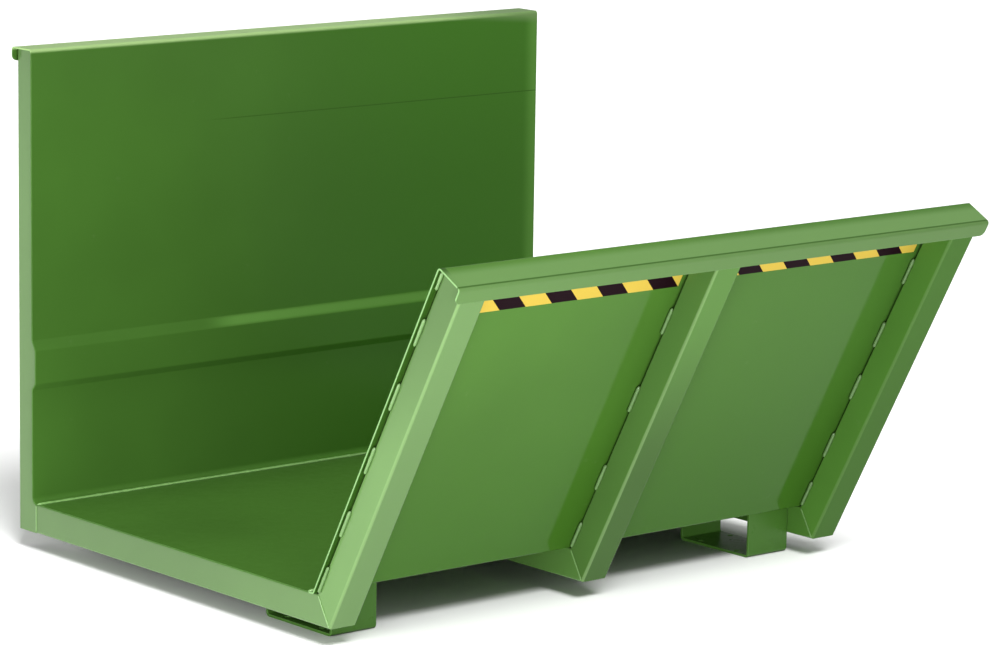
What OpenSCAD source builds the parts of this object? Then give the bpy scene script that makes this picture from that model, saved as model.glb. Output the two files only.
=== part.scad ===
// Open-ended steel skip: a tall rear wall, a flat floor and a sloping front wall, folded from
// sheet and welded to three square-tube frames, on four folded feet with holes for castors.
// +X runs along the skip, -Y is the sloping front, +Z is up, and the ground is at z = 0.

/* [Body] */
// Length over the three frames, outer face to outer face
frame_len = 1264; // [900:1:1700]
// Inside depth of the floor, from the rear wall to the front bend
floor_depth = 900; // [700:1:1200]
// Height of the rear wall's rim above the ground
rear_height = 994; // [780:1:1250]
// Length of the front wall up its slope
front_slope = 732; // [520:1:880]
// Angle of the front wall above the floor, in degrees
front_angle = 61.7; // [48:0.1:78]
// Height of the floor's top face above the ground
floor_z = 101; // [96:1:140]

/* [Sheet] */
// Thickness of the folded body sheets
sheet = 3; // [2:0.5:5]
// Inside radius of the sharp bends
bend_r = 4; // [2:0.5:6]
// Inside radius of the bend between the floor and the rear wall
cove_r = 12; // [6:1:20]
// Reach of the folded rims, from a wall's inner face to the lip's outer face
rim = 67; // [66:0.5:80]
// Height of the rear rim's hanging lip
rear_lip = 28; // [20:1:45]
// Height of the front rim's hanging lip
front_lip = 32; // [20:1:45]
// Radius of the lips' free corners
lip_r = 11; // [4:1:16]
// Overhang of the sheets past the left frame
over_left = 10; // [9:1:16]
// Overhang of the front wall past the right frame
over_right = 26; // [9:1:40]
// Overhang of the floor and rear wall past the right frame
rear_over_right = 4; // [4:1:16]

/* [Swage] */
// How far the pressed swage stands into the skip
swage_depth = 11; // [6:1:16]
// Height of the swage's lower edge above the ground
swage_z = 326; // [250:1:420]
// Height of the swage's lower ramp
swage_low = 13; // [9:1:25]
// Height of the swage's flat
swage_flat = 66; // [40:1:100]
// Height of the swage's upper ramp
swage_high = 20; // [14:1:35]

/* [Frames] */
// Side of the square tube
tube = 60; // [50:1:63]
// Wall of the square tube
tube_wall = 3; // [2:0.5:5]
// Outer corner radius of the square tube
tube_r = 4; // [3.5:0.5:8]
// Fit-up gap between a front rib and the sheet at the floor
rib_gap = 0.3; // [0:0.1:1]
// Outward lean of the front ribs against the wall, in degrees
rib_lean = 0.27; // [0:0.01:0.3]

/* [Feet] */
// Plate thickness of the folded feet
foot_t = 5; // [4:0.5:8]
// Size of a foot along the skip
foot_x = 104; // [100:1:140]
// Size of a foot across the skip
foot_y = 198; // [150:1:230]
// Distance of the front feet's front face behind the front bend
front_foot_set = 34; // [20:1:60]
// Distance of the rear feet's rear face in front of the rear wall
rear_foot_set = 40; // [20:1:80]
// Distance of the rear feet from the ends of the frames
rear_foot_inset = 170; // [150:1:260]
// Diameter of the castor holes
hole_d = 12; // [9:0.5:14]
// Castor hole spacing along the skip
hole_x = 80; // [60:1:84]
// Castor hole spacing across the skip
hole_y = 105; // [75:1:120]

/* [Welds and tape] */
// Length of one stitch weld
stitch = 60; // [30:1:80]
// Distance from one stitch weld up a rear post to the next
stitch_pitch = 137; // [110:1:200]
// How far up the slope each stitch on the left, middle and right rib starts
rib_stitches = [[4, 134, 279, 422, 564, 686], [4, 143, 329, 510], [4, 127, 271, 399, 551]]; // each 4 to 700
// Leg of a stitch weld on the sheet
leg = 7; // [4:0.5:8]
// Width of the warning tape
tape_w = 50; // [25:1:60]
// Thickness of the warning tape
tape_t = 0.4; // [0.2:0.1:1]
// Distance of the left tape's lower edge up the front slope
tape_s = 618; // [400:1:640]
// How much higher the right tape sits
tape_rise = 8; // [-10:1:10]
// Gap between the tape and the ribs beside it
tape_gap = 8; // [2:1:30]

/* [Hidden] */
$fn = 48;
green = "#5f9148";
shade = "#55833f";
steel_bead = "#7fb065";
yellow = "#e8cd5d";

// Lengthways stations
body_len = over_left + frame_len + over_right;
x_left = -body_len / 2;
frame_x = x_left + over_left;
frame_step = (frame_len - tube) / 2;
rear_len = over_left + frame_len + rear_over_right;

// Crossways stations and the two directions of the front wall, in (y, z)
up = [-cos(front_angle), sin(front_angle)];
out = [-sin(front_angle), -cos(front_angle)];
rim_trim = (bend_r + sheet) * (-out[0] - up[0] - 1);
rear_y = (floor_depth - front_slope * up[0] - rim * out[0] - rim - rim_trim) / 2;
front_y = rear_y - floor_depth;
floor_under = floor_z - sheet;
beam_z = floor_under - tube;
seam_in = cove_r + 5;
toe = 12;
swage_top = swage_z + swage_low + swage_flat + swage_high;

// Mitre between a floor beam and its front rib: inner corner, then outer corner
rib_angle = front_angle - rib_lean;
rib_dir = [-cos(rib_angle), sin(rib_angle)];
rib_in = [front_y, floor_z] + (sheet + rib_gap) * out;
rib_out = rib_in + tube * [-sin(rib_angle), -cos(rib_angle)];
mitre_in = rib_in + rib_dir * (floor_under - rib_in[1]) / rib_dir[1];
mitre_out = rib_out + rib_dir * (beam_z - rib_out[1]) / rib_dir[1];

// ---- Folding -------------------------------------------------------------------------------

function heading(a, b) = atan2(b[1] - a[1], b[0] - a[0]);

// Turn at corner i of a path, positive to the left
function turn(path, i) =
  let (d = heading(path[i], path[i + 1]) - heading(path[i - 1], path[i]))
  d > 180 ? d - 360 : d < -180 ? d + 360 : d;

// Length that the bend at corner i takes from the flat before it
function setback(radius, t, b) = (radius + (b > 0 ? t : 0)) * tan(abs(b) / 2);

function arc(centre, r, from, sweep) =
  let (n = ceil(abs(sweep) / 10))
  [for (k = [0 : n]) centre + r * [cos(from + sweep * k / n), sin(from + sweep * k / n)]];

// One face of a folded plate: side 0 runs along the path, side 1 is t to its left
function face(path, radii, t, side) =
  let (last = len(path) - 1, first_h = heading(path[0], path[1]),
    last_h = heading(path[last - 1], path[last]))
  [path[0] + side * t * [-sin(first_h), cos(first_h)],
    for (i = [1 : last - 1])
      let (h = heading(path[i - 1], path[i]), b = turn(path, i), r = radii[i - 1],
        centre = path[i] - setback(r, t, b) * [cos(h), sin(h)]
          + (b > 0 ? t + r : -r) * [-sin(h), cos(h)])
      each arc(centre, r + t * (b > 0 ? 1 - side : side), h + (b > 0 ? -90 : 90), b),
    path[last] + side * t * [-sin(last_h), cos(last_h)]];

function reversed(list) = [for (i = [len(list) - 1 : -1 : 0]) list[i]];

// Plate of thickness t on the left of a path, with a round bend at each inner corner
module folded(path, radii, t) {
  polygon(concat(face(path, radii, t, 0), reversed(face(path, radii, t, 1))));
}

// Extrudes a (y, z) outline along X
module along_x(x, length) {
  translate([x, 0, 0]) rotate([90, 0, 90]) linear_extrude(length) children();
}

// Places children in the front wall's frame: z runs up the slope, y points into the skip
module on_slope() {
  translate([0, front_y, floor_z]) rotate([90 - front_angle, 0, 0]) children();
}

// What a rounded lip corner loses, for a corner at the origin
module corner_waste() {
  difference() {
    translate([-1, -1, -1]) cube([lip_r + 1, sheet + 2, lip_r + 1]);
    translate([lip_r, 0, lip_r]) rotate([90, 0, 0])
      cylinder(r = lip_r, h = 6 * sheet, center = true);
  }
}

module lip_corners(length) {
  translate([x_left, 0, 0]) corner_waste();
  translate([x_left + length, 0, 0]) mirror([1, 0, 0]) corner_waste();
}

// ---- Body sheets ---------------------------------------------------------------------------

module rear_wall() {
  color(green) difference() {
    along_x(x_left, rear_len) folded([
        [rear_y + rim, rear_height - rear_lip],
        [rear_y + rim, rear_height],
        [rear_y, rear_height],
        [rear_y, swage_top],
        [rear_y - swage_depth, swage_top - swage_high],
        [rear_y - swage_depth, swage_z + swage_low],
        [rear_y, swage_z],
        [rear_y, floor_z],
        [rear_y - seam_in, floor_z]],
      [bend_r, bend_r, 3, 3, 3, 3, cove_r], sheet);
    translate([0, rear_y + rim - sheet, rear_height - rear_lip]) lip_corners(rear_len);
  }
}

module floor_plate() {
  color(green) translate([x_left, front_y + toe, floor_under])
    cube([rear_len, floor_depth - toe - seam_in, sheet]);
}

module front_wall() {
  bend = [front_y, floor_z];
  top = bend + front_slope * up;
  color(green) difference() {
    along_x(x_left, body_len) folded(
      [bend + [toe, 0], bend, top, top + rim * out, top + rim * out - front_lip * up],
      [bend_r, bend_r, bend_r], sheet);
    on_slope() translate([0, -rim, front_slope - front_lip]) lip_corners(body_len);
  }
}

// ---- Frames --------------------------------------------------------------------------------

module rounded_square(side, r) {
  translate([r, 0]) square([side - 2 * r, side]);
  translate([0, r]) square([side, side - 2 * r]);
  for (x = [r, side - r], y = [r, side - r]) translate([x, y]) circle(r);
}

module tube_section() {
  difference() {
    rounded_square(tube, tube_r);
    translate([tube_wall, tube_wall]) rounded_square(tube - 2 * tube_wall, tube_r - tube_wall);
  }
}

// Everything on one side of the mitre: dir 1 is the rear side, -1 the front side
module past_mitre(dir) {
  over = 2 * (mitre_in - mitre_out);
  along_x(frame_x - 1, frame_len + 2) polygon([mitre_in + over, mitre_out - over,
    mitre_out - over + [4 * dir * tube, 0], mitre_in + over + [4 * dir * tube, 0]]);
}

// The tube's upper corners are nipped to clear the inside of the rim's bends
module rear_post(i) {
  head = rear_height - sheet;
  back = rear_y + sheet;
  color(shade) intersection() {
    translate([frame_x + i * frame_step, back, beam_z]) linear_extrude(rear_height)
      tube_section();
    along_x(frame_x - 1, frame_len + 2) polygon([[back - 1, 0],
      [back - 1, head - bend_r - 1], [back + bend_r, head], [back + tube - bend_r, head],
      [back + tube + 1, head - bend_r - 1], [back + tube + 1, 0]]);
  }
}

module floor_beam(i) {
  color(shade) difference() {
    translate([frame_x + i * frame_step, rear_y + sheet, beam_z]) rotate([90, 0, 0])
      linear_extrude(floor_depth + 2 * tube) tube_section();
    past_mitre(-1);
  }
}

// The rib ends under the front rim and butts the lower edge of its lip
module front_rib(i) {
  head = front_slope - sheet;
  color(shade) difference() {
    intersection() {
      on_slope() translate([frame_x + i * frame_step, -sheet - rib_gap, 0])
        rotate([rib_lean, 0, 0]) translate([0, -tube, -2 * tube])
          linear_extrude(front_slope + 2 * tube) tube_section();
      on_slope() along_x(frame_x - 1, frame_len + 2) polygon([[0, -3 * tube],
        [-sheet, head - bend_r], [-sheet - bend_r, head], [-rim + sheet + bend_r, head],
        [-rim + sheet, head - bend_r], [-rim + sheet, front_slope - front_lip],
        [-2 * rim, front_slope - front_lip], [-2 * rim, -3 * tube]]);
    }
    past_mitre(1);
  }
}

// ---- Feet ----------------------------------------------------------------------------------

// Folded U that is open along X, welded under the floor, with four castor holes
module foot(x, front) {
  color(green) difference() {
    along_x(x, foot_x) folded([[front, floor_under], [front, 0],
      [front + foot_y, 0], [front + foot_y, floor_under]], [bend_r, bend_r], foot_t);
    for (dx = [-1, 1], dy = [-1, 1])
      translate([x + foot_x / 2 + dx * hole_x / 2, front + foot_y / 2 + dy * hole_y / 2, -1])
        cylinder(d = hole_d, h = foot_t + 2);
  }
}

front_foot_y = front_y + front_foot_set;
rear_foot_y = rear_y - rear_foot_set - foot_y;
feet = [[frame_x + tube, front_foot_y],
  [frame_x + frame_len - tube - foot_x, front_foot_y],
  [frame_x + rear_foot_inset, rear_foot_y],
  [frame_x + frame_len - rear_foot_inset - foot_x, rear_foot_y]];

// ---- Warning tape --------------------------------------------------------------------------

module hazard_tape(i) {
  color(yellow) on_slope()
    translate([frame_x + i * frame_step + tube + tape_gap, -sheet - tape_t, tape_s + i * tape_rise])
      cube([frame_step - tube - 2 * tape_gap, tape_t, tape_w]);
}

// ---- Welds ---------------------------------------------------------------------------------

// Pair of fillets on both sides of a tube whose left side is at x, running up z
module fillet_pair(x, depth, side_leg, length) {
  linear_extrude(length) {
    polygon([[x, 0], [x - side_leg, 0], [x, depth]]);
    polygon([[x + tube, 0], [x + tube + side_leg, 0], [x + tube, depth]]);
  }
}

// Hand-laid stitches, the top one cut short where the sheet bends into the rim
module rib_welds(i) {
  head = front_slope - sheet - bend_r;
  color(steel_bead) on_slope() for (s = rib_stitches[i]) if (s < head - stitch / 2)
    translate([0, -sheet, s])
      fillet_pair(frame_x + i * frame_step, -tube_r - leg, leg, min(stitch, head - s));
}

module post_welds(i) {
  color(steel_bead)
    for (z = [floor_z + 25 : stitch_pitch : rear_height - stitch - 20])
      if (z + stitch < swage_z || z > swage_top)
        translate([0, rear_y + sheet, z])
          fillet_pair(frame_x + i * frame_step, tube_r + leg, min(leg, rear_over_right), stitch);
}

// Low flat bead laid over a butt seam on top of the floor
module seam_bead(y, length) {
  along_x(x_left, length) polygon([[y - 4, floor_z], [y + 4, floor_z], [y, floor_z + 1.2]]);
}

module rear_seam_weld() {
  color(steel_bead) seam_bead(rear_y - seam_in, rear_len);
}

module front_seam_weld() {
  color(steel_bead) seam_bead(front_y + toe, rear_len);
}

// Beads over the mitres and over the joints between posts and beams, on both tube sides
module corner_welds() {
  seam = norm(mitre_in - mitre_out) - 2 * tube_r;
  color(steel_bead) for (i = [0 : 2], side = [0, 1]) {
    x = frame_x + i * frame_step + side * (tube + 1) - 1;
    along_x(x, 1) {
      translate(mitre_out) rotate(heading(mitre_out, mitre_in))
        translate([tube_r, -1.5]) square([seam, 3]);
      translate([rear_y + sheet - 1.5, beam_z + tube_r]) square([3, tube - 2 * tube_r]);
    }
  }
}

module foot_welds() {
  color(steel_bead) for (f = feet) for (end = [0, 1])
    along_x(f[0] + 3, foot_x - 6) translate([f[1] + end * foot_y, floor_under])
      polygon([[0, 0], [0, -leg], [end == 0 ? -leg : leg, 0]]);
}

rear_wall();
floor_plate();
front_wall();
rear_post(0);  // rear_post_left
rear_post(1);  // rear_post_middle
rear_post(2);  // rear_post_right
floor_beam(0);  // floor_beam_left
floor_beam(1);  // floor_beam_middle
floor_beam(2);  // floor_beam_right
front_rib(0);  // front_rib_left
front_rib(1);  // front_rib_middle
front_rib(2);  // front_rib_right
foot(feet[0][0], feet[0][1]);  // front_foot_left
foot(feet[1][0], feet[1][1]);  // front_foot_right
foot(feet[2][0], feet[2][1]);  // rear_foot_left
foot(feet[3][0], feet[3][1]);  // rear_foot_right
hazard_tape(0);  // hazard_tape_left
hazard_tape(1);  // hazard_tape_right
rib_welds(0);  // rib_welds_left
rib_welds(1);  // rib_welds_middle
rib_welds(2);  // rib_welds_right
post_welds(0);  // post_welds_left
post_welds(1);  // post_welds_middle
post_welds(2);  // post_welds_right
rear_seam_weld();
front_seam_weld();
corner_welds();
foot_welds();
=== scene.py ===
import bmesh
import bpy
import math
import numpy as np
from mathutils import Matrix, Vector


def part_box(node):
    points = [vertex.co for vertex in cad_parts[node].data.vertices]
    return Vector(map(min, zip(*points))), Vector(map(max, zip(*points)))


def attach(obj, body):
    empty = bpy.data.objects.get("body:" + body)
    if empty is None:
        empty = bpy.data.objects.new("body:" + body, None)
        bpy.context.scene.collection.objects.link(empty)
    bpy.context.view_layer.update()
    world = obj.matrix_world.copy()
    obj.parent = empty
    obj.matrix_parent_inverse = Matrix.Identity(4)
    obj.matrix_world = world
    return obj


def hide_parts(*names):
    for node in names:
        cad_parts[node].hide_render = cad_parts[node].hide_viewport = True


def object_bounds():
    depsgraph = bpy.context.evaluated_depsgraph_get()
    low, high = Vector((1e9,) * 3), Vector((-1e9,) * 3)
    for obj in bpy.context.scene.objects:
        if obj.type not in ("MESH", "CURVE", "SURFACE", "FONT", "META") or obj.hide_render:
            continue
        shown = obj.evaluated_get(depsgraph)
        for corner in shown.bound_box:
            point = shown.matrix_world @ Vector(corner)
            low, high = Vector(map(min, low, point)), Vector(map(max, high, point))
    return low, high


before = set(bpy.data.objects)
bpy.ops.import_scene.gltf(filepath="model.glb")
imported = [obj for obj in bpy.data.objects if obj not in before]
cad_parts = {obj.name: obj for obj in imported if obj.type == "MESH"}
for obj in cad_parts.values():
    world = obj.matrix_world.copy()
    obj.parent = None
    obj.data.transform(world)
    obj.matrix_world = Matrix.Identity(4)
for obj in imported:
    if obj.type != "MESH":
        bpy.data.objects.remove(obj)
packed_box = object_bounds()

# ---- Viewpoint -----------------------------------------------------------------------------
# The skip is seen from its front left corner with a long lens, from a little over head height
# and a good distance away, so its verticals hardly lean.
viewer = bpy.data.cameras.new("viewer")
viewer.lens = 156.26
viewer.sensor_width = 36
viewer.shift_x, viewer.shift_y = 0.00294, -0.00108
viewer.clip_end = 200
away = Vector((-0.63266, -0.75318, 0.18018)).normalized()
level = Vector((0, 0, 1)).cross(away).normalized()
upright = away.cross(level)
tilt = math.radians(0.89)
across = level * math.cos(tilt) + upright * math.sin(tilt)
upward = upright * math.cos(tilt) - level * math.sin(tilt)
aimed_at, distance = Vector((-0.17866, -0.22591, 0.540)), 8.0896
stand = aimed_at + away * distance
viewpoint = bpy.data.objects.new("viewpoint", viewer)
bpy.context.scene.collection.objects.link(viewpoint)
viewpoint.matrix_world = Matrix([[across[i], upward[i], away[i], stand[i]] for i in range(3)]).to_4x4()
bpy.context.scene.camera = viewpoint

# ---- Studio --------------------------------------------------------------------------------
# A plain white floor under a soft sky that darkens towards the horizon. An overhead lamp, a bank
# on the left and a small fill light the skip. One more lamp lights only the floor, slanting in
# from the front, so that its shadow lies under the skip and behind it.
FLOOR_RADIUS = 45
ground = bpy.data.meshes.new("studio_floor")
turns = [math.tau * k / 64 for k in range(64)]
ring = [(FLOOR_RADIUS * math.cos(turn), FLOOR_RADIUS * math.sin(turn), 0) for turn in turns]
ground.from_pydata(ring, [], [list(range(64))])
studio_floor = bpy.data.objects.new("studio_floor", ground)
bpy.context.scene.collection.objects.link(studio_floor)
floor_white = bpy.data.materials.new("floor_white")
floor_white.use_nodes = True
matt = floor_white.node_tree.nodes["Principled BSDF"]
matt.inputs["Base Color"].default_value = (0.92, 0.92, 0.92, 1)
matt.inputs["Roughness"].default_value = 0.9
matt.inputs["Specular IOR Level"].default_value = 0.1
ground.materials.append(floor_white)

sky = bpy.data.worlds.new("soft_sky")
bpy.context.scene.world = sky
sky.use_nodes = True
dome = sky.node_tree.nodes["Background"]
heading = sky.node_tree.nodes.new("ShaderNodeTexCoord")
height = sky.node_tree.nodes.new("ShaderNodeSeparateXYZ")
glow = sky.node_tree.nodes.new("ShaderNodeMapRange")
for label, value in (("From Min", 0.0), ("From Max", 0.45), ("To Min", 0.12), ("To Max", 0.55)):
    glow.inputs[label].default_value = value
sky.node_tree.links.new(heading.outputs["Generated"], height.inputs[0])
sky.node_tree.links.new(height.outputs["Z"], glow.inputs["Value"])
sky.node_tree.links.new(glow.outputs["Result"], dome.inputs["Strength"])
dome.inputs["Color"].default_value = (1, 1, 1, 1)


def hang_lamp(name, kind, energy, place, aim):
    """Hangs a lamp at a place, shining towards a point. A sun's place only gives its direction."""
    light = bpy.data.lights.new(name, kind)
    light.energy = energy
    lamp = bpy.data.objects.new(name, light)
    bpy.context.scene.collection.objects.link(lamp)
    lamp.location = place
    lamp.rotation_euler = (Vector(place) - Vector(aim)).to_track_quat("Z", "Y").to_euler()
    return lamp


overhead = hang_lamp("overhead", "SUN", 2.5, (-0.08, -0.05, 1), (0, 0, 0))
overhead.data.angle = math.radians(30)
floor_spread = hang_lamp("floor_spread", "SUN", 3.8, (-0.3, -0.75, 1), (0, 0, 0))
floor_spread.data.angle = math.radians(24)
left_bank = hang_lamp("left_bank", "AREA", 72, (-3.0, -0.35, 0.35), (0, 0.1, 0.4))
front_fill = hang_lamp("front_fill", "AREA", 60, (-1.9, -2.5, 0.4), (0, -0.5, 0.2))
for lamp, width, tall in ((left_bank, 1.6, 1.8), (front_fill, 1.4, 1.0)):
    lamp.data.shape = "RECTANGLE"
    lamp.data.size, lamp.data.size_y = width, tall

lit_floor = bpy.data.collections.new("lit_floor")
lit_floor.objects.link(studio_floor)
floor_spread.light_linking.receiver_collection = lit_floor
lit_pieces = bpy.data.collections.new("lit_pieces")
overhead.light_linking.receiver_collection = lit_pieces
front_fill.light_linking.receiver_collection = lit_pieces
bpy.context.scene.view_settings.view_transform = "Standard"

# ---- Body sheets ---------------------------------------------------------------------------
# Three sheets of 3 mm steel, a flat floor and two walls folded on a press, powder coated mid green
# in one go with the frames. Rims and proud faces are painted paler, as painted light, and corners
# darker, as painted shade.
# The paler green stands for painted light on lit faces, rims and welds.
MID_GREEN, PAINTED_LIGHT_GREEN = (0.062, 0.168, 0.024), (0.086, 0.168, 0.050)
SLOPE = math.radians(61.7)
UP_SLOPE = Vector((0, -math.cos(SLOPE), math.sin(SLOPE)))
OUTWARD = Vector((0, -UP_SLOPE.z, UP_SLOPE.y))
ALONG, UP = Vector((1, 0, 0)), Vector((0, 0, 1))


def tone(green, factor):
    """The same green, lighter or darker by a factor."""
    return tuple(factor * channel for channel in green)


def feed(tree, value, hole):
    """Links another node's output to an input, or sets a plain value on it."""
    if isinstance(value, bpy.types.NodeSocket):
        tree.links.new(value, hole)
    else:
        hole.default_value = value


def part(tree, kind, **sockets):
    """Adds a node and feeds its inputs: _2 is input 2, and To__Min is the input To Min."""
    made = tree.nodes.new(kind)
    for key, value in sockets.items():
        feed(tree, value, made.inputs[int(key[1:]) if key[0] == "_" else key.replace("__", " ")])
    return made


def sums(tree, operation, *values):
    """Adds a Math node on one or two values."""
    made = tree.nodes.new("ShaderNodeMath")
    made.operation = operation
    for hole, value in zip(made.inputs, values):
        feed(tree, value, hole)
    return made.outputs[0]


def ramp(tree, value, low, high, start=0.0, end=1.0):
    """Runs smoothly from start to end while the value goes from low to high."""
    made = part(tree, "ShaderNodeMapRange", Value=value, From__Min=low, From__Max=high,
                To__Min=start, To__Max=end)
    made.interpolation_type = "SMOOTHSTEP"
    return made.outputs[0]


def blend(tree, share, first, second):
    """Mixes a share of the second colour into the first."""
    made = part(tree, "ShaderNodeMix", _0=share)
    made.data_type = "RGBA"
    for hole, colour in ((made.inputs[6], first), (made.inputs[7], second)):
        feed(tree, (*colour, 1) if isinstance(colour, tuple) else colour, hole)
    return made.outputs[2]


def dot(tree, first, second):
    """How far one vector goes along another."""
    made = tree.nodes.new("ShaderNodeVectorMath")
    made.operation = "DOT_PRODUCT"
    feed(tree, first, made.inputs[0])
    feed(tree, second, made.inputs[1])
    return made.outputs["Value"]


def powder_coat(name, seed, green=MID_GREEN, shade=1.0, gloss=0.22, shine=0.35, ripple=1.0,
                corner_shade_share=0.9, zones=(), lines=()):
    """Powder coat with orange peel, soft waves of the sheet, cloudy thickness, a painted highlight on
    its edges, painted shade in the corners and a little dust. Each zone is a direction, where along
    it the colour starts and has fully changed, the colour and its share. Each line is a direction,
    where along it the line lies, half its width, its colour and share, and where along X it fades in."""
    coat = bpy.data.materials.new(name)
    coat.use_nodes = True
    tree = coat.node_tree
    face = tree.nodes["Principled BSDF"]
    place = part(tree, "ShaderNodeTexCoord").outputs["Object"]
    spot = part(tree, "ShaderNodeMapping", Vector=place,
                Location=(seed * 3.7, seed * 1.3, seed * 2.1)).outputs[0]
    cloud = part(tree, "ShaderNodeTexNoise", Vector=spot, Scale=2.2, Detail=3.0, Roughness=0.45)
    speck = part(tree, "ShaderNodeTexNoise", Vector=spot, Scale=38.0, Detail=4.0, Roughness=0.6)
    peel = part(tree, "ShaderNodeTexNoise", Vector=spot, Scale=420.0, Detail=1.0)
    wave = part(tree, "ShaderNodeTexNoise", Vector=spot, Scale=3.1, Detail=1.0)
    paint = blend(tree, ramp(tree, cloud.outputs[0], 0.3, 0.7),
                  tone(green, 0.92 * shade), tone(green, 1.08 * shade))
    for way, start, end, colour, share in zones:
        paint = blend(tree, ramp(tree, dot(tree, place, way), start, end, 0.0, share), paint, colour)
    for way, where, half, colour, share, fade in lines:
        off = sums(tree, "ABSOLUTE", sums(tree, "SUBTRACT", dot(tree, place, way), where))
        shown = sums(tree, "MULTIPLY", ramp(tree, off, half, 0.3 * half, 0.0, share),
                     ramp(tree, dot(tree, place, ALONG), fade, fade + 0.1))
        paint = blend(tree, shown, paint, colour)
    # Corners and crevices are painted darker, as painted shade.
    corner = part(tree, "ShaderNodeAmbientOcclusion", Distance=0.007)
    corner.samples = 4
    painted_corner_shade = ramp(tree, corner.outputs["AO"], 0.2, 0.7, corner_shade_share, 0.0)
    paint = blend(tree, painted_corner_shade, paint, tone(MID_GREEN, 0.2))
    # The coat rounds every edge a little, and each edge gets a painted highlight there
    soft = part(tree, "ShaderNodeBevel", Radius=0.0012)
    soft.samples = 4
    true = part(tree, "ShaderNodeNewGeometry").outputs["True Normal"]
    edge = ramp(tree, dot(tree, soft.outputs[0], true), 0.99, 0.86, 0.0, 0.6)
    paint = blend(tree, edge, paint, (0.20, 0.40, 0.12))
    dust = ramp(tree, speck.outputs[0], 0.66, 0.84, 0.0, 0.10)
    tree.links.new(blend(tree, dust, paint, (0.22, 0.28, 0.16)), face.inputs["Base Color"])
    haze = ramp(tree, speck.outputs[0], 0.3, 0.7, gloss - 0.03, gloss + 0.05)
    tree.links.new(haze, face.inputs["Roughness"])
    swell = part(tree, "ShaderNodeBump", Height=wave.outputs[0], Distance=0.004 * ripple,
                 Strength=0.5, Normal=soft.outputs[0])
    grain = part(tree, "ShaderNodeBump", Height=peel.outputs[0], Distance=0.00002,
                 Strength=0.5, Normal=swell.outputs[0])
    tree.links.new(grain.outputs[0], face.inputs["Normal"])
    face.inputs["Specular IOR Level"].default_value = shine
    return coat


def dress(node, coat):
    """Gives a carried-over piece its finish."""
    lit_pieces.objects.link(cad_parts[node])
    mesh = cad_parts[node].data
    mesh.materials.clear()
    mesh.materials.append(coat)


# The rear wall is painted darker overall and deeper to the right, as painted shade, with painted
# light at its right end and a painted highlight along its rim. Two level lines fade in left of its
# middle: a fine dark line, and a painted highlight where the swage's upper slant catches the light.
left_end, right_end = packed_box[0].x, packed_box[1].x
top = packed_box[1].z
dark_line_height, slant_height, fade_in = 0.826, 0.415, -0.25
wall_painted_light_and_shade = (
    (ALONG, -0.3, 0.5, (0.048, 0.158, 0.015), 1.0),
    (ALONG, right_end - 0.06, right_end - 0.028, (0.088, 0.235, 0.036), 1.0),
    (UP, top - 0.009, top - 0.0025, (0.30, 0.46, 0.18), 1.0),
    (ALONG + 12 * UP, 12 * top + 0.272, 12 * top + 0.572, (0.15, 0.26, 0.09), 1.0))
wall_lines = (
    (UP, dark_line_height, 0.0014, (0.020, 0.070, 0.006), 0.7, fade_in),
    (UP, slant_height, 0.013, (0.11, 0.26, 0.05), 0.7, fade_in))
dress("rear_wall", powder_coat("rear_wall_coat", 1, shade=0.8, shine=0.05,
                               zones=wall_painted_light_and_shade, lines=wall_lines))
# The floor plate is painted darker than the walls, as painted shade.
dress("floor_plate", powder_coat("floor_plate_coat", 2, shade=0.64, gloss=0.35, shine=0.08, ripple=0.15))

# The front wall is painted darker to the right, low down and beside the left rib, as painted shade.
# Its outward rim is painted paler up to the lip, as painted light, with a painted dark reflection
# along the whole of that fold, and its cut left end has a painted highlight.
floor_edge = Vector((0, -0.28173, 0.101))
bend = floor_edge.dot(OUTWARD)
lip = bend + 0.0605
whole_length = left_end - 0.1
front_painted_light_and_shade = (
    (ALONG, -0.4, 0.7, tone(MID_GREEN, 0.92), 1.0),
    (-UP, -0.62, -0.12, (0.034, 0.108, 0.008), 0.7),
    (-ALONG, -left_end - 0.013, -left_end - 0.009, (0.024, 0.075, 0.008), 0.85),
    (OUTWARD, bend + 0.006, bend + 0.03, tone(PAINTED_LIGHT_GREEN, 1.45), 0.9),
    (OUTWARD, lip, lip + 0.003, tone(PAINTED_LIGHT_GREEN, 1.2), 1.0),
    (-ALONG, -left_end - 0.001, -left_end - 0.0001, (0.21, 0.38, 0.15), 0.9))
front_painted_reflection = ((OUTWARD, lip, 0.0028, (0.030, 0.085, 0.010), 0.85, whole_length),)
dress("front_wall", powder_coat("front_wall_coat", 3, green=(0.0635, 0.166, 0.022), gloss=0.07, shine=0.1,
                                ripple=0.5, zones=front_painted_light_and_shade, lines=front_painted_reflection))

# ---- Frames --------------------------------------------------------------------------------
# Three frames of 60 mm square tube, mitred at the floor's front edge and welded. They are painted
# paler to the left and darker to the right, as painted light and shade, and the left corner of each
# rib has a painted highlight.
FRAME_GREEN_WITH_PAINTED_LIGHT = {"left": PAINTED_LIGHT_GREEN, "middle": (0.074, 0.168, 0.036), "right": (0.060, 0.158, 0.024)}
# For each rib, its painted light and shade: tone of its outer face low and high, tone of its sides
# low and high, shine, and the share of its painted glint
RIB_PAINTED_SHADING = {
    "left": (1.18, 1.35, 1.38, 0.86, 0.25, 0.3),
    "middle": (0.66, 1.24, 0.97, 0.98, 0.09, 0.4),
    "right": (0.80, 0.92, 1.14, 1.14, 0.05, 0.15)}
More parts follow.
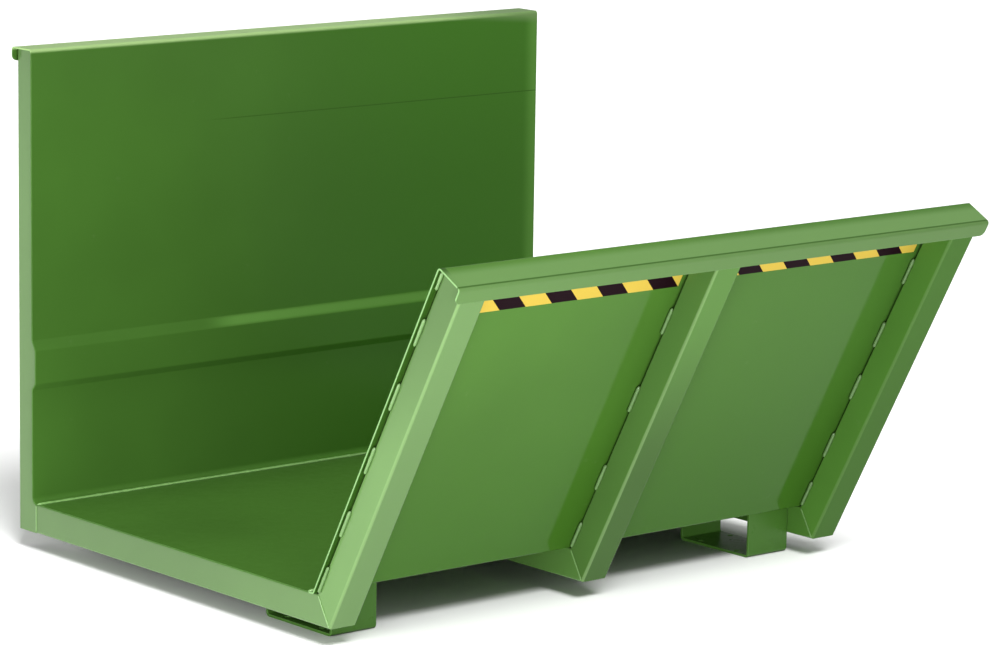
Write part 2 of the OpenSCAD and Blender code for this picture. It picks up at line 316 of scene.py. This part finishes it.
# The ribs lean out from the wall by 4.7 mm in a metre, and their outer face starts 63.3 mm out.
# Its painted light and shade change between 0.2 m and 0.65 m up the slope.
rib_lean, rib_reach = 0.0047, 0.0633
rib_outward = OUTWARD - rib_lean * UP_SLOPE
rib_face = rib_outward.dot(floor_edge) + rib_reach
climb = 0.008
rib_fade = rib_face + climb * UP_SLOPE.dot(floor_edge)
fade_start, fade_end = rib_fade + climb * 0.2, rib_fade + climb * 0.65
for turn, (where, green) in enumerate(FRAME_GREEN_WITH_PAINTED_LIGHT.items()):
    for piece in ("rear_post", "floor_beam"):
        node = f"{piece}_{where}"
        dress(node, powder_coat(f"{node}_coat", 5 + turn, green=green, shade=1.05, gloss=0.13, ripple=0.3))
    node = f"front_rib_{where}"
    low_face, high_face, low_side, high_side, shine, painted_glint = RIB_PAINTED_SHADING[where]
    rib_painted_light_and_shade = (
        (UP, 0.25, 0.68, tone(green, high_side), 1.0),
        (rib_outward, rib_face - 0.005, rib_face - 0.001, tone(green, low_face), 1.0),
        (rib_outward + climb * UP_SLOPE, fade_start, fade_end, tone(green, high_face), 1.0))
    # A painted highlight along each rib's rounded left corner, standing in for the glint of the light.
    left_corner = rib_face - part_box(node)[0].x - 0.0028
    rib_painted_highlight = ((rib_outward - ALONG, left_corner, 0.0022, (0.24, 0.38, 0.16), painted_glint, whole_length),)
    dress(node, powder_coat(f"{node}_coat", 8 + turn, green=green, shade=low_side, gloss=0.12, shine=shine,
                            ripple=0.3, corner_shade_share=0.4, zones=rib_painted_light_and_shade, lines=rib_painted_highlight))

# ---- Feet ----------------------------------------------------------------------------------
# Four U-shaped feet folded from 5 mm plate and welded under the floor, open at both ends, with
# holes for castors. All are painted a little darker, and the front left one darker still, as painted
# shade.
FOOT_PAINTED_SHADE = {"front_foot_left": 0.72, "front_foot_right": 0.92, "rear_foot_left": 0.92, "rear_foot_right": 0.92}
for turn, (foot, shade) in enumerate(FOOT_PAINTED_SHADE.items()):
    dress(foot, powder_coat(f"{foot}_coat", 11 + turn, shade=shade, gloss=0.3, shine=0.15, ripple=0.2))

# ---- Welds ---------------------------------------------------------------------------------
# Runs of MAG weld laid by hand and painted over: short stitches along the ribs and posts, long
# flat seams at the floor's two edges, and fine ones over the tubes' corners and along the feet.
weld_run = bpy.data.node_groups.new("weld_run", "GeometryNodeTree")
SETTINGS = (
    ("Seam", "Geometry", None), ("Bead radius", "Float", 0.003), ("Ripple pitch", "Float", 0.0025),
    ("Ripple depth", "Float", 0.12), ("Unevenness", "Float", 0.2), ("Crush", "Vector", (1, 1, 1)),
    ("Seed", "Float", 0.0), ("Coat", "Material", None))
for label, kind, usual in SETTINGS:
    socket = weld_run.interface.new_socket(label, in_out="INPUT", socket_type=f"NodeSocket{kind}")
    if usual is not None:
        socket.default_value = usual
weld_run.interface.new_socket("Bead", in_out="OUTPUT", socket_type="NodeSocketGeometry")
given = weld_run.nodes.new("NodeGroupInput").outputs
line = part(weld_run, "GeometryNodeMeshToCurve", Mesh=given["Seam"]).outputs[0]
fine = weld_run.nodes.new("GeometryNodeResampleCurve")
fine.mode = "LENGTH"
weld_run.links.new(line, fine.inputs["Curve"])
weld_run.links.new(sums(weld_run, "MULTIPLY", given["Ripple pitch"], 0.25), fine.inputs["Length"])

# The bead swells and thins as the hand moved, steps at each ripple, and closes in at its ends
run = weld_run.nodes.new("GeometryNodeSplineParameter").outputs["Length"]
whole = weld_run.nodes.new("GeometryNodeSplineLength").outputs["Length"]
here = weld_run.nodes.new("GeometryNodeInputPosition").outputs[0]
drift = weld_run.nodes.new("ShaderNodeTexNoise")
drift.noise_dimensions = "4D"
weld_run.links.new(here, drift.inputs["Vector"])
weld_run.links.new(given["Seed"], drift.inputs["W"])
drift.inputs["Scale"].default_value = 60
sway = sums(weld_run, "SUBTRACT", drift.outputs[0], 0.5)
wobble = sums(weld_run, "MULTIPLY", sway, given["Unevenness"])
pitches = sums(weld_run, "DIVIDE", run, given["Ripple pitch"])
crest = sums(weld_run, "FRACT", sums(weld_run, "ADD", pitches, wobble))
ripple = sums(weld_run, "SUBTRACT", 1.0, sums(weld_run, "MULTIPLY", crest, given["Ripple depth"]))
to_end = sums(weld_run, "MINIMUM", run, sums(weld_run, "SUBTRACT", whole, run))
closing = sums(weld_run, "DIVIDE", to_end, sums(weld_run, "MULTIPLY", given["Bead radius"], 1.2))
closing = sums(weld_run, "POWER", sums(weld_run, "ADD", closing, 0.08), 0.5)
closing = sums(weld_run, "MINIMUM", 1.0, closing)
girth = sums(weld_run, "MULTIPLY", ripple, closing)
girth = sums(weld_run, "MULTIPLY", girth, sums(weld_run, "ADD", 1.0, wobble))

# Each ring of the bead keeps its centre, so that Crush can flatten it about that centre
core = weld_run.nodes.new("GeometryNodeCaptureAttribute")
core.capture_items.new("VECTOR", "centre")
weld_run.links.new(fine.outputs[0], core.inputs[0])
weld_run.links.new(here, core.inputs[1])
hoop = part(weld_run, "GeometryNodeCurvePrimitiveCircle", Resolution=10, Radius=given["Bead radius"])
swept = part(weld_run, "GeometryNodeCurveToMesh", Curve=core.outputs[0], Profile__Curve=hoop.outputs[0],
             Scale=girth, Fill__Caps=True)
centre = core.outputs[1]
spoke = part(weld_run, "ShaderNodeVectorMath", _0=here, _1=centre)
spoke.operation = "SUBTRACT"
pressed = part(weld_run, "ShaderNodeVectorMath", _0=spoke.outputs[0], _1=given["Crush"], _2=centre)
pressed.operation = "MULTIPLY_ADD"
laid = part(weld_run, "GeometryNodeSetPosition", Geometry=swept.outputs[0], Position=pressed.outputs[0])
laid = part(weld_run, "GeometryNodeSetShadeSmooth", Geometry=laid.outputs[0])
laid = part(weld_run, "GeometryNodeRealizeInstances", Geometry=laid.outputs[0])
laid = part(weld_run, "GeometryNodeSetMaterial", Geometry=laid.outputs[0], Material=given["Coat"])
weld_run.links.new(laid.outputs[0], weld_run.nodes.new("NodeGroupOutput").inputs[0])


def seams(node):
    """The middle line of every weld in a CAD node, as pairs of end points in a fixed order."""
    shell = bmesh.new()
    shell.from_mesh(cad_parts[node].data)
    bmesh.ops.remove_doubles(shell, verts=shell.verts, dist=1e-5)
    loose, found = dict.fromkeys(shell.verts), []
    while loose:
        solid = [loose.popitem()[0]]
        for corner in solid:
            for other in [edge.other_vert(corner) for edge in corner.link_edges]:
                if other in loose:
                    del loose[other]
                    solid.append(other)
        spots = np.array([corner.co for corner in solid])
        middle = spots.mean(0)
        way = np.linalg.svd(spots - middle)[2][0]
        reach = (spots - middle) @ way
        ends = [spots[abs(reach - end) < 2e-4].mean(0) for end in (reach.min(), reach.max())]
        found.append(sorted(ends, key=lambda end: tuple(end.round(4))))
    shell.free()
    return sorted(found, key=lambda pair: tuple(pair[0].round(4)))


def lay_weld(node, seed, shade, settings):
    """Lays a rippled bead over every weld of a CAD node. The beads stand for that node."""
    pairs = seams(node)
    path = bpy.data.meshes.new(f"{node}_path")
    spans = [(2 * k, 2 * k + 1) for k in range(len(pairs))]
    path.from_pydata([end for pair in pairs for end in pair], spans, [])
    guide = bpy.data.objects.new(f"{node}_guide", path)
    bpy.context.scene.collection.objects.link(guide)
    sweep = guide.modifiers.new("weld_run", "NODES")
    sweep.node_group = weld_run
    # Welds take the paler green, lifted by their shade factor, as a painted highlight.
    coat = powder_coat(f"{node}_coat", 20 + seed, green=PAINTED_LIGHT_GREEN, shade=shade, gloss=0.14, shine=0.7,
                       ripple=0.1, corner_shade_share=0.0)
    chosen = {**settings, "Seed": float(seed), "Coat": coat}
    for item in weld_run.interface.items_tree:
        if item.in_out == "INPUT" and item.name in chosen:
            sweep[item.identifier] = chosen[item.name]
    solid = bpy.data.meshes.new_from_object(guide.evaluated_get(bpy.context.evaluated_depsgraph_get()))
    solid.name = f"{node}_bead"
    bpy.data.objects.remove(guide)
    bead = bpy.data.objects.new(f"{node}_bead", solid)
    bpy.context.scene.collection.objects.link(bead)
    lit_pieces.objects.link(bead)
    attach(bead, "root")
    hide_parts(node)


# Weld beads are painted paler than the pieces they join, as a painted highlight, and the rib stitches
# paler towards the left, as painted light.
STITCH = {"Bead radius": 0.0036, "Unevenness": 0.55}
for turn, (where, shade) in enumerate((("left", 1.3), ("middle", 1.15), ("right", 1.0))):
    lay_weld(f"rib_welds_{where}", turn, shade, STITCH)
    lay_weld(f"post_welds_{where}", 3 + turn, 1.2, STITCH)
# The flat seams and the corner welds are painted palest, as a painted highlight.
FLAT_SEAM = {"Bead radius": 0.006, "Ripple pitch": 0.004, "Unevenness": 1.1, "Crush": (1, 1, 0.42)}
lay_weld("rear_seam_weld", 6, 2.0, FLAT_SEAM)
lay_weld("front_seam_weld", 7, 2.0, FLAT_SEAM)
lay_weld("corner_welds", 8, 1.7, {"Bead radius": 0.0021, "Crush": (0.5, 1, 1)})
lay_weld("foot_welds", 9, 1.0, {"Bead radius": 0.003})

# ---- Warning tape --------------------------------------------------------------------------
# Two strips of yellow vinyl film with slanting black print, stuck to the front wall under its
# rim. Both are cut off a roll, so each one's stripes start at a place of their own.
STRIPE = 0.0604
YELLOW, BLACK = (0.60, 0.43, 0.065), (0.010, 0.002, 0.005)
FIRST_STRIPE = {"hazard_tape_left": -0.469, "hazard_tape_right": 0.1023}
for node, first in FIRST_STRIPE.items():
    film = bpy.data.materials.new(f"{node}_film")
    film.use_nodes = True
    tree = film.node_tree
    face = tree.nodes["Principled BSDF"]
    place = part(tree, "ShaderNodeTexCoord").outputs["Object"]
    xyz = part(tree, "ShaderNodeSeparateXYZ", Vector=place)
    rise = sums(tree, "SUBTRACT", xyz.outputs["Z"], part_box(node)[0].z)
    lean = sums(tree, "DIVIDE", rise, math.sin(SLOPE))
    run = sums(tree, "SUBTRACT", sums(tree, "ADD", xyz.outputs["X"], lean), first)
    bar = sums(tree, "LESS_THAN", sums(tree, "FLOORED_MODULO", run, 2 * STRIPE), STRIPE)
    tree.links.new(blend(tree, bar, YELLOW, BLACK), face.inputs["Base Color"])
    face.inputs["Roughness"].default_value = 0.4
    face.inputs["Specular IOR Level"].default_value = 0.03
    dress(node, film)
